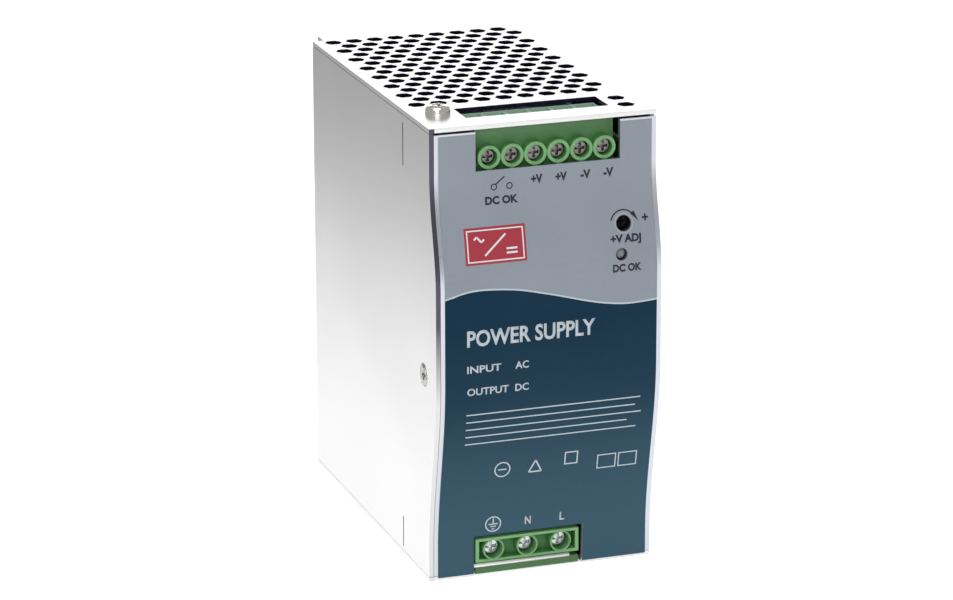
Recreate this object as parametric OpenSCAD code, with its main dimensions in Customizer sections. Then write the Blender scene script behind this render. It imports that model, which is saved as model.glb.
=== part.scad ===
/* [Case] */
// Width of the case
case_w = 63; // [62:0.5:90]
// Height of the case
case_h = 125.2; // [122:0.1:160]
// Depth from the front bulge to the plane that the rail's lips lie on
case_d = 107.8; // [104:0.1:140]
// Height of the rail's centre line above the foot of the case
rail_up = 65; // [60:0.5:70]
// Thickness of the case's sheet metal
sheet_t = 1.2; // [0.8:0.1:1.5]
// Thickness of the wavy front panel
panel_t = 1.5; // [1:0.1:2]
// Thickness of the printed film on the front
film_t = 0.2; // [0.1:0.05:0.4]
// Open seam between the left panel and the front panel
seam = 0.1; // [0.1:0.1:1]

/* [Front wave] */
// How far the top of the front lies behind the bulge
wave_top = 5; // [2:0.1:7]
// How far the foot of the front lies behind the bulge
wave_foot = 6.6; // [3:0.1:8]

/* [Vents] */
// Width of a six-sided vent hole over its corners
vent_w = 5; // [3:0.1:5.4]
// Distance between neighbouring vent holes
vent_pitch = 6.1; // [5.6:0.1:8]
// Closed margin beside the vents, left and right
vent_edge = 3.4; // [2:0.1:8]
// Distance from the back of the case to the first row of vent holes
vent_back = 3.2; // [3:0.1:8]

/* [Output terminals] */
// Number of output poles
out_poles = 6; // [2:1:6]
// Distance between output poles
out_pitch = 6.4; // [6.2:0.1:6.6]
// Outside width of an output screw tower
out_tower_d = 6.3; // [5.6:0.1:6.4]
// Shank diameter of an output screw
out_screw_d = 2.5; // [2:0.1:2.9]
// Head diameter of an output screw
out_head_d = 3.9; // [3.4:0.1:4.2]
// Travel of an output clamp cage
out_travel = 2.7; // [2:0.1:3.2]

/* [Input terminals] */
// Number of input poles
in_poles = 3; // [2:1:3]
// Distance between input poles
in_pitch = 9.55; // [9:0.05:10]
// Outside width of an input screw tower
in_tower_d = 6; // [5.8:0.1:6.4]
// Shank diameter of an input screw
in_screw_d = 3; // [2.5:0.1:3.4]
// Head diameter of an input screw
in_head_d = 4.4; // [4:0.1:4.6]
// Travel of an input clamp cage
in_travel = 3; // [2:0.1:3.4]

/* [Rail seat] */
// Height of the mounting rail
rail_h = 35; // [35:0.1:35]
// How far the case reaches behind the rail's lips
rail_back = 5.7; // [5.5:0.1:7.2]
// Width of the back bracket
bracket_w = 56.5; // [48:0.5:58]
// How far the latch pulls down to let the rail go
latch_travel = 5; // [4:0.1:6]

/* [Boards] */
// Thickness of the circuit boards
board_t = 1.6; // [1.2:0.1:2]
// Length of the standoffs between the right wall and the main board
standoff_h = 5; // [4:0.1:8]

/* [Hidden] */
$fn = 64;
eps = 0.01;
fit = 0.05;
slack = 0.3;

// faces of the case
left = -case_w / 2;
right = case_w / 2;
foot = -rail_up;
top = foot + case_h;
bulge = -case_d;
in_left = left + sheet_t;
in_right = right - sheet_t;
in_foot = foot + sheet_t;
in_top = top - sheet_t;

// front wave: flat top, bulge, flat foot
top_blend = [top - 43.2, top - 13.2];
foot_blend = [foot + 8, foot + 57];
wave_steps = 56;
function ease(a, b, v) = let (t = max(0, min(1, (v - a) / (b - a)))) t * t * (3 - 2 * t);
function wave_y(z) = bulge
  + wave_top * ease(top_blend[0], top_blend[1], z)
  + wave_foot * (1 - ease(foot_blend[0], foot_blend[1], z));
// the wave as straight steps between stations that every sheet shares, from z0 up to z1
function station(i) = foot + case_h * i / wave_steps;
function line_y(z) = let (i = max(0, min(wave_steps - 1, floor((z - foot) / case_h * wave_steps))),
    t = (z - station(i)) / (case_h / wave_steps))
  wave_y(station(i)) * (1 - t) + wave_y(station(i + 1)) * t;
function wave_line(z0, z1, back) = concat(
  [[line_y(z0) + back, z0]],
  [for (i = [0 : wave_steps])
     if (station(i) > z0 + eps && station(i) < z1 - eps) [wave_y(station(i)) + back, station(i)]],
  [[line_y(z1) + back, z1]]);
function reversed(list) = [for (i = [len(list) - 1 : -1 : 0]) list[i]];

// output terminal block, measured back from the rims of its towers
block_x = 1.25;
out_z = top - 9.2;
rim_back = 1;
out_rim_y = wave_y(out_z) + rim_back;
out_tower_h = 2.5;
out_bore_d = out_head_d + 2 * slack;
out_head_at = 1.5;
out_head_h = 2.2;
out_step_at = out_head_at + out_head_h + 0.1;
out_step_t = 1.2;
out_cage = [5.2, 1.6 + 5.4 + 0.9, 6];
out_cage_wall = [0.4, 1.6, 0.9];
out_cage_at = out_step_at + out_step_t + 0.2 + out_travel;
out_cell_w = out_cage[0] + 0.2;
out_end = out_cage_at + out_cage[1] + 0.2;
out_depth = out_end + 1.2;
out_w = out_pitch * (out_poles - 1) + out_cell_w + 1.2;
out_low = out_z - 6;
out_high = in_top - 0.4;
out_lead_in = 3;
out_bar_t = 0.8;
out_bar_w = 3.4;
out_notch_w = out_w + 1.5;
out_notch_low = out_z - 3.2;
function out_x(i) = block_x + (i - (out_poles - 1) / 2) * out_pitch;

// input terminal block
in_x = -3.5;
in_z = foot + 6.8;
in_rim_y = wave_y(in_z) + 0.8;
in_tower_h = 3;
in_bore_d = in_head_d + 2 * slack;
in_head_at = 2.6;
in_head_h = 2.4;
in_step_at = in_head_at + in_head_h + 0.1;
in_step_t = 1.4;
in_cage = [6.4, 1.8 + 6.2 + 1, 5.2];
in_cage_wall = [0.7, 1.8, 1];
in_cage_at = in_step_at + in_step_t + 0.2 + in_travel;
in_cell_w = in_cage[0] + 0.2;
in_end = in_cage_at + in_cage[1] + 0.2;
in_depth = in_end + 1.3;
in_w = in_pitch * (in_poles - 1) + in_cell_w + 3.7;
in_low = foot + 0.2;
in_high = in_z + 5;
in_frame_low = in_z - 3.4;
in_frame_high = in_z + 3.3;
strip_z = [in_frame_low - 1.1, in_frame_low - 0.2];
in_bar_t = 1;
in_bar_w = 4.4;
in_notch_w = in_w + 1.5;
in_notch_high = in_z + 4.5;
function pole_x(i) = in_x + (i - (in_poles - 1) / 2) * in_pitch;

// slots in the top and the foot of the case for the wires
out_slot = [out_rim_y + 7.2, out_rim_y + out_depth + 0.2];
in_slot_end = in_rim_y + in_depth + 0.5;

// circuit boards
main_x = in_right - standoff_h;
main_face = main_x - board_t;
main_front = bulge + 10.6;
main_back = -8;
main_low = foot + 10;
main_high = top - 10.2;
out_board_y = [out_rim_y + 3.8, out_rim_y + 36.3];
in_board_y = [in_rim_y + 3.8, in_rim_y + 42];
screw_spots = [[main_back - 4, main_high - 4], [main_back - 4, main_low + 4],
  [main_front + 4.2, main_high - 12], [main_front + 4.2, main_low + 10]];

// adjusting hole and lamp on the front
trim_at = [21.4, top - 29.4];
lamp_at = [20.3, top - 37.4];
trim_hole_d = 4.2;
lamp_hole_d = 3.3;
rotor_d = 3.4;
control_y = main_front - board_t;
rotor_y = wave_y(trim_at[1]) + film_t + panel_t + 0.4;

// rail seat
lip_t = 1;
lip_gap = 0.3;
hook_t = 1.2;
hook_reach = 2.9;
seat_half = rail_h / 2 + 0.8;
lower_half = rail_h / 2 + 6.5;
latch_w = 16;
latch_y = lip_t + lip_gap;
latch_t = 1.2;
latch_top = -rail_h / 2 + hook_reach;
latch_low = foot + 2;
latch_slot = [foot + 12, -30];
spring_low = foot + 19;
spring_d = 3.4;
spring_wire = 0.5;
spring_turns = 7;
spring_y = latch_y + latch_t / 2;
rivet_d = 3;
rivet_x = 5.2;
rivet_z = [-29, foot + 10];

// screws of the case
top_screw_at = [left + 7.4, bulge + 20];
side_screw_at = [bulge + 10.5, foot + 57];
case_screw_d = 3;
rear_screw_y = -6;
rear_screw_z = [0, top - 32];

module along_x(x0, length) {
  translate([x0, 0, 0]) rotate([90, 0, 90]) linear_extrude(length) children();
}
module block(x, y, z) {
  translate([x[0], y[0], z[0]]) cube([x[1] - x[0], y[1] - y[0], z[1] - z[0]]);
}
// a cylinder along Y, from y to y + length
module rod_y(x, y, z, d, length) {
  translate([x, y, z]) rotate([-90, 0, 0]) cylinder(d = d, h = length);
}
// a cylinder along X, from x to x + length
module rod_x(x, y, z, d, length) {
  translate([x, y, z]) rotate([0, 90, 0]) cylinder(d = d, h = length);
}
// cross recess, cut down from the head's face at z = 0
module cross_recess(size, width, depth) {
  for (turn = [0, 90])
    rotate([0, 0, turn]) translate([-size / 2, -width / 2, -depth]) cube([size, width, depth + 1]);
}

// vent field: offset rows of six-sided holes that fill the rear of a plate
vent_shift = -0.5;
vent_row = vent_pitch * sqrt(3) / 2;
vent_cols = floor((case_w - 2 * vent_edge) / vent_pitch);
module vent_field(z, y_front) {
  rows = floor((-vent_back - y_front) / vent_row) + 1;
  x0 = vent_shift - (vent_cols - 0.5) * vent_pitch / 2;
  translate([0, 0, z - 1]) linear_extrude(sheet_t + 2)
    for (row = [0 : rows - 1], col = [0 : vent_cols - 1])
      translate([x0 + (col + (row % 2) / 2) * vent_pitch, -vent_back - row * vent_row])
        circle(d = vent_w, $fn = 6);
}
// two more holes beside the wire slot
module side_vents(z) {
  translate([0, 0, z - 1]) linear_extrude(sheet_t + 2)
    for (y = [bulge + 12.8, bulge + 20.2]) translate([right - 5.7, y]) circle(d = vent_w, $fn = 6);
}

module chassis() {
  color("gainsboro") difference() {
    union() {
      along_x(in_right, sheet_t) polygon(concat(
        wave_line(in_foot, in_top, film_t + panel_t), [[0, in_top], [0, in_foot]]));
      block([left, right], [wave_y(top) + film_t, 0], [in_top, top]);
      block([left, right], [wave_y(foot) + film_t, 0], [foot, in_foot]);
    }
    vent_field(in_top, out_slot[1] + 4);
    side_vents(in_top);
    vent_field(foot, in_slot_end + 4);
    block([out_x(0) - out_cell_w / 2 - 1.2, out_x(out_poles - 1) + out_cell_w / 2 + 1.2],
      out_slot, [in_top - 1, top + 1]);
    block([in_x - in_notch_w / 2, in_x + in_notch_w / 2], [bulge - 1, in_slot_end], [foot - 1, in_foot + 1]);
    translate([top_screw_at[0], top_screw_at[1], in_top - 1])
      cylinder(d = case_screw_d + 2 * fit, h = sheet_t + 2);
    translate([top_screw_at[0], top_screw_at[1], foot]) foot_screw_seat();
    wall_screw_seat(right, 180, side_screw_at[0], side_screw_at[1]);
    for (z = rear_screw_z) wall_screw_seat(right, 180, rear_screw_y, z);
    for (s = screw_spots) rod_x(in_right - 1, s[0], s[1], case_screw_d + 2 * fit, sheet_t + 2);
  }
}

// countersunk seats for the flush screws: through the foot, and through a side wall
csk_d = 6.4;
csk_h = 1;
module csk_shape(grow) {
  cylinder(d1 = csk_d + 2 * grow, d2 = case_screw_d + 2 * grow, h = csk_h + grow);
  cylinder(d = case_screw_d + 2 * grow, h = 5);
}
module foot_screw_seat() {
  translate([0, 0, -eps]) csk_shape(fit);
}
module wall_screw_seat(x, turn, y, z) {
  translate([x, y, z]) rotate([0, 0, turn]) translate([-eps, 0, 0]) rotate([0, 90, 0]) csk_shape(fit);
}

tab_w = [in_left, in_left + 10.6];
tab_y = [bulge + 14, bulge + 26];
tab_z = in_top - sheet_t - 0.1;
tab_foot_z = in_foot + 0.1;
module side_cover() {
  color("silver") difference() {
    union() {
      along_x(left, sheet_t) polygon(concat(
        wave_line(in_foot + 0.1, in_top - 0.15, 0.2), [[0, in_top - 0.15], [0, in_foot + 0.1]]));
      block([tab_w[0] - eps, tab_w[1]], tab_y, [tab_z, tab_z + sheet_t - eps]);
      block([tab_w[0] - eps, tab_w[1]], tab_y, [tab_foot_z + eps, tab_foot_z + sheet_t]);
    }
    // relief slits beside the bent tabs
    block([left - 1, in_left + 1], [bulge + 26.7, bulge + 27.3], [top - 15.2, top - 3.5]);
    block([left - 1, in_left + 1], [bulge + 28.4, bulge + 29], [foot + 2.4, foot + 11.2]);
    wall_screw_seat(left, 0, side_screw_at[0], side_screw_at[1]);
    translate([top_screw_at[0], top_screw_at[1], foot])
      cylinder(d = case_screw_d + 2 * fit, h = case_h);
  }
}

panel_x = [left + sheet_t + seam, right];
flange_y = bulge + 18;
module front_notches(grow) {
  block([block_x - out_notch_w / 2 - grow, block_x + out_notch_w / 2 + grow],
    [bulge - 1, bulge + 12], [out_notch_low - grow, top + 1]);
  block([in_x - in_notch_w / 2 - grow, in_x + in_notch_w / 2 + grow],
    [bulge - 1, bulge + 12], [foot - 1, in_notch_high + grow]);
}
module front_panel() {
  color("lightgray") {
    difference() {
      along_x(panel_x[0], panel_x[1] - panel_x[0]) polygon(concat(
        wave_line(in_foot + 0.1, in_top - 0.6, film_t),
        reversed(wave_line(in_foot + 0.1, in_top - 0.6, film_t + panel_t))));
      front_notches(0);
      rod_y(trim_at[0], bulge - 1, trim_at[1], trim_hole_d, 12);
      rod_y(lamp_at[0], bulge - 1, lamp_at[1], lamp_hole_d, 12);
    }
    // return flanges that the side screws hold
    for (side = [-1, 1]) difference() {
      x0 = side < 0 ? panel_x[0] : in_right - sheet_t - 0.05;
      y0 = wave_y(side_screw_at[1]) + film_t + panel_t - 0.3;
      block([x0, x0 + sheet_t], [y0, flange_y], [side_screw_at[1] - 8, side_screw_at[1] + 8]);
      rod_x(x0 - 1, side_screw_at[0], side_screw_at[1], case_screw_d + 2 * fit, sheet_t + 2);
    }
  }
}

film_x = [left + 2.5, right - 1.3];
film_z = [foot + 0.7, top - 2.4];
film_gap = 0.05;
module front_label() {
  color("slategray") difference() {
    along_x(film_x[0], film_x[1] - film_x[0]) polygon(concat(
      wave_line(film_z[0], film_z[1], 0), reversed(wave_line(film_z[0], film_z[1], film_t))));
    front_notches(film_gap);
    rod_y(trim_at[0], bulge - 1, trim_at[1], trim_hole_d, 12);
    rod_y(lamp_at[0], bulge - 1, lamp_at[1], lamp_hole_d, 12);
  }
}

pan_r = 3.35;
pan_brim = 0.7;
pan_h = 2.5;
module top_screw() {
  color("silver") translate([top_screw_at[0], top_screw_at[1], top]) {
    difference() {
      union() {
        rotate_extrude() polygon(concat([[0, 0], [pan_r, 0]],
          [for (a = [0 : 7.5 : 75])
             [pan_r * pow(cos(a), 0.55), pan_brim + (pan_h - pan_brim) * pow(sin(a), 1.1)]],
          [[pan_r * 0.3, pan_h], [0, pan_h]]));
        translate([0, 0, -6]) cylinder(d = case_screw_d, h = 6.5);
      }
      translate([0, 0, pan_h]) cross_recess(3.4, 0.9, 1.3);
    }
  }
}
module csk_screw(length) {
  difference() {
    union() {
      cylinder(d1 = csk_d, d2 = case_screw_d, h = csk_h);
      cylinder(d = case_screw_d, h = length);
    }
    mirror([0, 0, 1]) cross_recess(3, 0.8, 0.8);
  }
}
module side_screw() {
  color("silver") translate([left, side_screw_at[0], side_screw_at[1]]) rotate([0, 90, 0]) csk_screw(4.5);
}
module hidden_screws() {
  color("silver") {
    translate([top_screw_at[0], top_screw_at[1], foot]) csk_screw(4.5);
    translate([right, side_screw_at[0], side_screw_at[1]]) rotate([0, -90, 0]) csk_screw(4.5);
    for (z = rear_screw_z) translate([right, rear_screw_y, z]) rotate([0, -90, 0]) csk_screw(4.5);
  }
}

// back bracket: one bent sheet, seen from the side, with hooks and a guide for the latch
bracket_x = [-bracket_w / 2, bracket_w / 2];
guide_y = [-sheet_t, 0];
hook_x = 16;
back_face = rail_back - sheet_t;
ear_y = [-12, 0];
module rail_bracket() {
  ear_x = [in_left + 0.05, in_right - 0.05];
  color("silver") difference() {
    union() {
      along_x(bracket_x[0], bracket_w) {
        translate([0, in_top]) square([rail_back, sheet_t]);
        translate([back_face, seat_half]) square([sheet_t, top - seat_half]);
        translate([-sheet_t, seat_half]) square([sheet_t + rail_back, sheet_t]);
        translate([-sheet_t, -lower_half - sheet_t]) square([sheet_t + rail_back, sheet_t]);
        translate([back_face, foot]) square([sheet_t, -lower_half - foot]);
        translate([0, foot]) square([rail_back, sheet_t]);
      }
      // cheeks that close the two boxes above and below the rail
      for (x = [bracket_x[0], bracket_x[1] - sheet_t]) {
        block([x, x + sheet_t], [-sheet_t, rail_back], [seat_half, in_top - 0.05]);
        block([x, x + sheet_t], [0, rail_back], [seat_half, top]);
        block([x, x + sheet_t], [0, rail_back], [foot, -lower_half]);
      }
      // back wall between the side walls, open into the upper box
      difference() {
        block(ear_x, guide_y, [in_foot + 0.1, in_top - 0.05]);
        block([bracket_x[0] + sheet_t, bracket_x[1] - sheet_t], [-sheet_t - 1, 1],
              [seat_half + sheet_t, top]);
      }
      // ears that the rear side screws hold
      for (x = [ear_x[0], ear_x[1] - sheet_t], z = rear_screw_z)
        block([x, x + sheet_t], ear_y, [z - 5, z + 5]);
      // hooks that reach behind the rail's upper lip
      for (x = [-hook_x, hook_x])
        block([x - 4, x + 4], [latch_y, latch_y + hook_t], [rail_h / 2 - hook_reach, seat_half + eps]);
      // stop for the latch's spring
      block([-1.9, 1.9], [-eps, latch_y + latch_t + 1.4], [spring_low - 2, spring_low]);
    }
    // slots that the latch runs through, and the window for a screwdriver
    for (z = [-lower_half - sheet_t - 1, foot - 1])
      block([-latch_w / 2 - 0.5, latch_w / 2 + 0.5], [latch_y - 0.3, latch_y + latch_t + 0.3],
            [z, z + sheet_t + 2]);
    block([-5, 5], [back_face - 1, rail_back + 1], [latch_low + 1.5, latch_low + 7]);
    for (z = rear_screw_z) rod_x(in_right - 4, rear_screw_y, z, case_screw_d + 2 * fit, 5);
    for (x = [-rivet_x, rivet_x], z = rivet_z) rod_y(x, -sheet_t - 1, z, rivet_d, sheet_t + 1.5);
  }
}

module rail_latch() {
  color("gainsboro") difference() {
    union() {
      along_x(-latch_w / 2, latch_w) polygon([
        [latch_y, latch_low], [latch_y + latch_t, latch_low], [latch_y + latch_t, latch_top - 1.6],
        [latch_y + latch_t * 0.4, latch_top], [latch_y, latch_top]]);
    }
    block([-2.4, 2.4], [0, 5], latch_slot);
    block([-3, 3], [0, 5], [latch_low + 2.6, latch_low + 5.6]);
    for (x = [-rivet_x, rivet_x], z = rivet_z) {
      low = z - rivet_d / 2 - 0.3;
      high = z + rivet_d / 2 + 0.3 + latch_travel + 0.3;
      block([x - rivet_d / 2 - 0.2, x + rivet_d / 2 + 0.2], [0, 5], [low, high]);
    }
  }
}

// compression spring as a swept coil between the stop and the end of the latch's slot
coil_sides = 8;
coil_steps = 14;
coil_n = spring_turns * coil_steps;
function coil_point(k, a, z0, z1) = let (
    turn = 360 * k / coil_steps, r = spring_d / 2 - spring_wire / 2 + spring_wire / 2 * cos(a))
  [r * cos(turn), r * sin(turn),
    z0 + spring_wire / 2 + (z1 - z0 - spring_wire) * k / coil_n + spring_wire / 2 * sin(a)];
module latch_spring() {
  z1 = latch_slot[1];
  points = [for (k = [0 : coil_n], i = [0 : coil_sides - 1])
            coil_point(k, 360 * i / coil_sides, spring_low, z1)];
  skin = [for (k = [0 : coil_n - 1], i = [0 : coil_sides - 1]) let (j = (i + 1) % coil_sides)
    [k * coil_sides + i, k * coil_sides + j, (k + 1) * coil_sides + j, (k + 1) * coil_sides + i]];
  ends = [[for (i = [coil_sides - 1 : -1 : 0]) i], [for (i = [0 : coil_sides - 1]) coil_n * coil_sides + i]];
  color("dimgray") translate([0, spring_y, 0]) polyhedron(points, concat(skin, ends));
}

module latch_rivets() {
  color("silver") for (x = [-rivet_x, rivet_x], z = rivet_z) {
    rod_y(x, -sheet_t, z, rivet_d, sheet_t + latch_y + latch_t + 0.3);
    rod_y(x, latch_y + latch_t + 0.2, z, rivet_d + 2, 0.8);
  }
}

// a terminal block: body, cells for the cages, screw towers and bores
module output_terminal_block() {
  face_y = out_rim_y + out_tower_h;
  color("mediumseagreen") difference() {
    union() {
      block([block_x - out_w / 2, block_x + out_w / 2], [face_y, out_rim_y + out_depth], [out_low, out_high]);
      for (i = [0 : out_poles - 1]) rod_y(out_x(i), out_rim_y, out_z, out_tower_d, out_tower_h + 0.5);
      block([out_x(0), out_x(out_poles - 1)], [out_rim_y + 0.4, face_y + 0.1], [out_z - 0.8, out_z + 0.8]);
    }
    for (i = [0 : out_poles - 1]) {
      x = out_x(i);
      cell = [x - out_cell_w / 2, x + out_cell_w / 2];
      rod_y(x, out_rim_y - 1, out_z, out_bore_d, out_step_at + 1);
      rod_y(x, out_rim_y, out_z, out_screw_d + 2 * slack, out_step_at + out_step_t + 1);
      block(cell, [out_rim_y + out_step_at + out_step_t, out_rim_y + out_end],
        [out_z - out_cage[2] / 2 - 0.3, out_z + out_cage[2] / 2 + 0.3]);
      block(cell, [out_rim_y + out_cage_at + 0.8, out_rim_y + out_end], [out_z, out_high + 1]);
      block([x - out_bar_w / 2, x + out_bar_w / 2], out_bar_y(), [out_low - 1, out_z]);
      // lead-in slope behind the wire's way
      along_x(cell[0], out_cell_w) polygon([[out_rim_y + out_end - 0.1, out_high - out_lead_in],
        [out_rim_y + out_depth - 0.5, out_high + 0.1], [out_rim_y + out_end - 0.1, out_high + 0.1]]);
    }
  }
}
function out_bar_y() = let (y = out_rim_y + out_cage_at + out_cage_wall[1] + 0.05) [y, y + out_bar_t];
function in_bar_y() = let (y = in_rim_y + in_cage_at + in_cage_wall[1] + 0.05) [y, y + in_bar_t];

module input_terminal_block() {
  face_y = in_rim_y + in_tower_h;
  body_x = [in_x - in_w / 2, in_x + in_w / 2];
  color("mediumseagreen") difference() {
    union() {
      block(body_x, [face_y, in_rim_y + in_depth], [in_low, in_high]);
      difference() {
        block(body_x, [in_rim_y, face_y + 0.1], [in_frame_low, in_frame_high]);
        block([body_x[0] + 1, body_x[1] - 1], [in_rim_y - 1, face_y + 0.2],
              [in_frame_low + 0.8, in_frame_high - 0.8]);
      }
      block(body_x, [in_rim_y + 0.2, face_y + 0.1], [in_low, strip_z[0] - fit]);
      for (i = [0 : in_poles - 1]) rod_y(pole_x(i), in_rim_y, in_z, in_tower_d, in_tower_h + 0.5);
    }
    for (i = [0 : in_poles - 1]) {
      x = pole_x(i);
      cell = [x - in_cell_w / 2, x + in_cell_w / 2];
      rod_y(x, in_rim_y - 1, in_z, in_bore_d, in_step_at + 1);
      rod_y(x, in_rim_y, in_z, in_screw_d + 2 * slack, in_step_at + in_step_t + 1);
      block(cell, [in_rim_y + in_step_at + in_step_t, in_rim_y + in_end],
        [in_z - in_cage[2] / 2 - 0.3, in_z + in_cage[2] / 2 + 0.3]);
      block(cell, [in_rim_y + in_cage_at + 1, in_rim_y + in_end], [in_low - 1, in_z]);
      block([x - in_bar_w / 2, x + in_bar_w / 2], in_bar_y(), [in_z, in_high + 1]);
    }
  }
}

// captive terminal screw: head with a cross recess, plain shank
module terminal_screw(x, z, rim_y, head_at, head_d, head_h, shank_d, tip_at) {
  color("silver") translate([x, rim_y + head_at, z]) rotate([-90, 0, 0]) difference() {
    union() {
      cylinder(d = head_d - 0.5, h = 0.3);
      translate([0, 0, 0.25]) cylinder(d = head_d, h = head_h - 0.25);
      cylinder(d = shank_d, h = tip_at - head_at);
    }
    mirror([0, 0, 1]) cross_recess(head_d * 0.72, head_d * 0.2, 1.1);
  }
}
module output_screw(i) {
  terminal_screw(out_x(i), out_z, out_rim_y, out_head_at, out_head_d, out_head_h, out_screw_d,
    out_cage_at + out_cage_wall[1] - 0.1);
}
module input_screw(i) {
  terminal_screw(pole_x(i), in_z, in_rim_y, in_head_at, in_head_d, in_head_h, in_screw_d,
    in_cage_at + in_cage_wall[1] - 0.1);
}

// clamp cage: a box ring that is open up and down, with the screw's bore in front
module cage(x, y, z, size, wall, bore_d) {
  color("silver") difference() {
    block([x - size[0] / 2, x + size[0] / 2], [y, y + size[1]], [z - size[2] / 2, z + size[2] / 2]);
    block([x - size[0] / 2 + wall[0], x + size[0] / 2 - wall[0]],
      [y + wall[1], y + size[1] - wall[2]], [z - size[2], z + size[2]]);
    rod_y(x, y - 1, z, bore_d, wall[1] + 2);
  }
}
module output_clamp(i) {
  cage(out_x(i), out_rim_y + out_cage_at, out_z, out_cage, out_cage_wall, out_screw_d + 2 * fit);
}
module input_clamp(i) {
  cage(pole_x(i), in_rim_y + in_cage_at, in_z, in_cage, in_cage_wall, in_screw_d + 2 * fit);
}

// contact bars that run through the cages and end in solder pins
pin_w = 1.2;
module output_pins() {
  color("gold") for (i = [0 : out_poles - 1]) {
    block([out_x(i) - out_bar_w / 2, out_x(i) + out_bar_w / 2], out_bar_y(),
          [out_low, out_z + out_cage[2] / 2]);
    block([out_x(i) - pin_w / 2, out_x(i) + pin_w / 2], out_bar_y(),
          [out_low - board_t - 1.2, out_low + eps]);
  }
}
module input_pins() {
  color("gold") for (i = [0 : in_poles - 1]) {
    block([pole_x(i) - in_bar_w / 2, pole_x(i) + in_bar_w / 2], in_bar_y(), [in_z - in_cage[2] / 2, in_high]);
    block([pole_x(i) - pin_w / 2, pole_x(i) + pin_w / 2], in_bar_y(),
          [in_high - eps, in_high + board_t + 1.2]);
  }
}
// bent strip in front of the input block's wire side, with a leg on the foot of the case
module input_retainer() {
  x = [in_x - in_notch_w / 2 + 0.3, in_x + in_notch_w / 2 - 3.5];
  leg_y = [wave_y(foot) + film_t + panel_t + 0.1, in_rim_y + in_tower_h];
  color("gainsboro") {
    block(x, [in_rim_y - 0.3, leg_y[1]], strip_z);
    block([x[0] - 3, x[0] + 1], leg_y, strip_z);
    block([x[0] - 3, x[0] - 0.8], leg_y, [in_foot, strip_z[0] + 0.1]);
  }
}

module insulation_sheet() {
  color("ivory") difference() {
    block([main_x + 0.8, main_x + 1.2], [main_front, main_back], [main_low, main_high]);
    for (s = screw_spots) rod_x(main_x, s[0], s[1], 7.2, 2);
  }
}
module main_board() {
  color("darkgreen") difference() {
    block([main_face, main_x], [main_front, main_back], [main_low, main_high]);
    for (s = screw_spots) rod_x(main_face - 1, s[0], s[1], case_screw_d + 2 * fit, board_t + 2);
  }
}
module board_standoffs() {
  color("goldenrod") for (s = screw_spots) difference() {
    rotate([0, 90, 0]) translate([-s[1], s[0], main_x]) cylinder(d = 6.4, h = standoff_h, $fn = 6);
    rod_x(main_x - 1, s[0], s[1], case_screw_d, standoff_h + 2);
  }
}
module board_screws() {
  color("silver") for (s = screw_spots) {
    difference() {
      rod_x(main_face - 1.8, s[0], s[1], 5.4, 1.8);
      translate([main_face - 1.8, s[0], s[1]]) rotate([0, -90, 0]) cross_recess(3, 0.8, 1);
    }
    rod_x(main_face - 0.5, s[0], s[1], case_screw_d, board_t + 3);
    // from outside, into the same standoff
    translate([right - 0.01, s[0], s[1]]) rotate([0, -90, 0]) cylinder(d = case_screw_d, h = sheet_t + 1);
  }
}
module pin_holes(poles, pitch, x0, y, z) {
  for (i = [0 : poles - 1]) {
    x = x0 + (i - (poles - 1) / 2) * pitch;
    block([x - pin_w / 2 - 0.05, x + pin_w / 2 + 0.05], [y[0] - 0.05, y[1] + 0.05], z);
  }
}
module output_board() {
  color("darkgreen") difference() {
    block([in_left + 8, main_face - 0.02], out_board_y, [out_low - board_t, out_low]);
    pin_holes(out_poles, out_pitch, block_x, out_bar_y(), [out_low - board_t - 1, out_low + 1]);
  }
}
module input_board() {
  color("darkgreen") difference() {
    block([in_left + 8, main_face - 0.02], in_board_y, [in_high, in_high + board_t]);
    pin_holes(in_poles, in_pitch, in_x, in_bar_y(), [in_high - 1, in_high + board_t + 1]);
  }
}
module control_board() {
  color("darkgreen")
    block([lamp_at[0] - 9, in_right - 1.2], [control_y, main_front - 0.02], [lamp_at[1] - 8, trim_at[1] + 7]);
}

// front adjuster and lamp
trim_body_w = 6.6;
module trimmer_body() {
  color("royalblue") difference() {
    block([trim_at[0] - trim_body_w / 2, trim_at[0] + trim_body_w / 2], [rotor_y + 1.2, control_y - 0.02],
      [trim_at[1] - 2.9, trim_at[1] + 3.7]);
    rod_y(trim_at[0], rotor_y, trim_at[1], rotor_d + 2 * fit, 2.6);
  }
}
module trimmer_rotor() {
  color("white") difference() {
    rod_y(trim_at[0], rotor_y, trim_at[1], rotor_d, 2.5);
    translate([trim_at[0], rotor_y, trim_at[1]]) rotate([90, 0, 0]) cross_recess(2.6, 0.6, 0.8);
  }
}
lamp_d = 3;
lamp_tip_y = wave_y(lamp_at[1]) + 0.5;
module status_led() {
  color("gray") {
    translate([lamp_at[0], lamp_tip_y + lamp_d / 2, lamp_at[1]]) rotate([-90, 0, 0]) {
      rotate_extrude() intersection() {
        circle(d = lamp_d);
        translate([0, -lamp_d]) square(lamp_d);
      }
      cylinder(d = lamp_d, h = control_y - lamp_tip_y - lamp_d / 2);
    }
    rod_y(lamp_at[0], control_y - 1, lamp_at[1], lamp_d + 0.6, 1);
  }
}

// parts that stand on the main board: they reach from its face towards the left panel
module on_board(y, z, height, lift = 0) {
  block([main_face - lift - height, main_face - lift], y, z);
}
module can_on_board(y, z, d, height) {
  rod_x(main_face - height, y, z, d, height);
}

relay_y = [out_board_y[0] + 8, out_board_y[0] + 23];
relay_z = out_low - board_t;
module dc_ok_relay() {
  color("black") block([block_x - 19, block_x - 1], relay_y, [relay_z - 10, relay_z - 1.3]);
}

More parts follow.
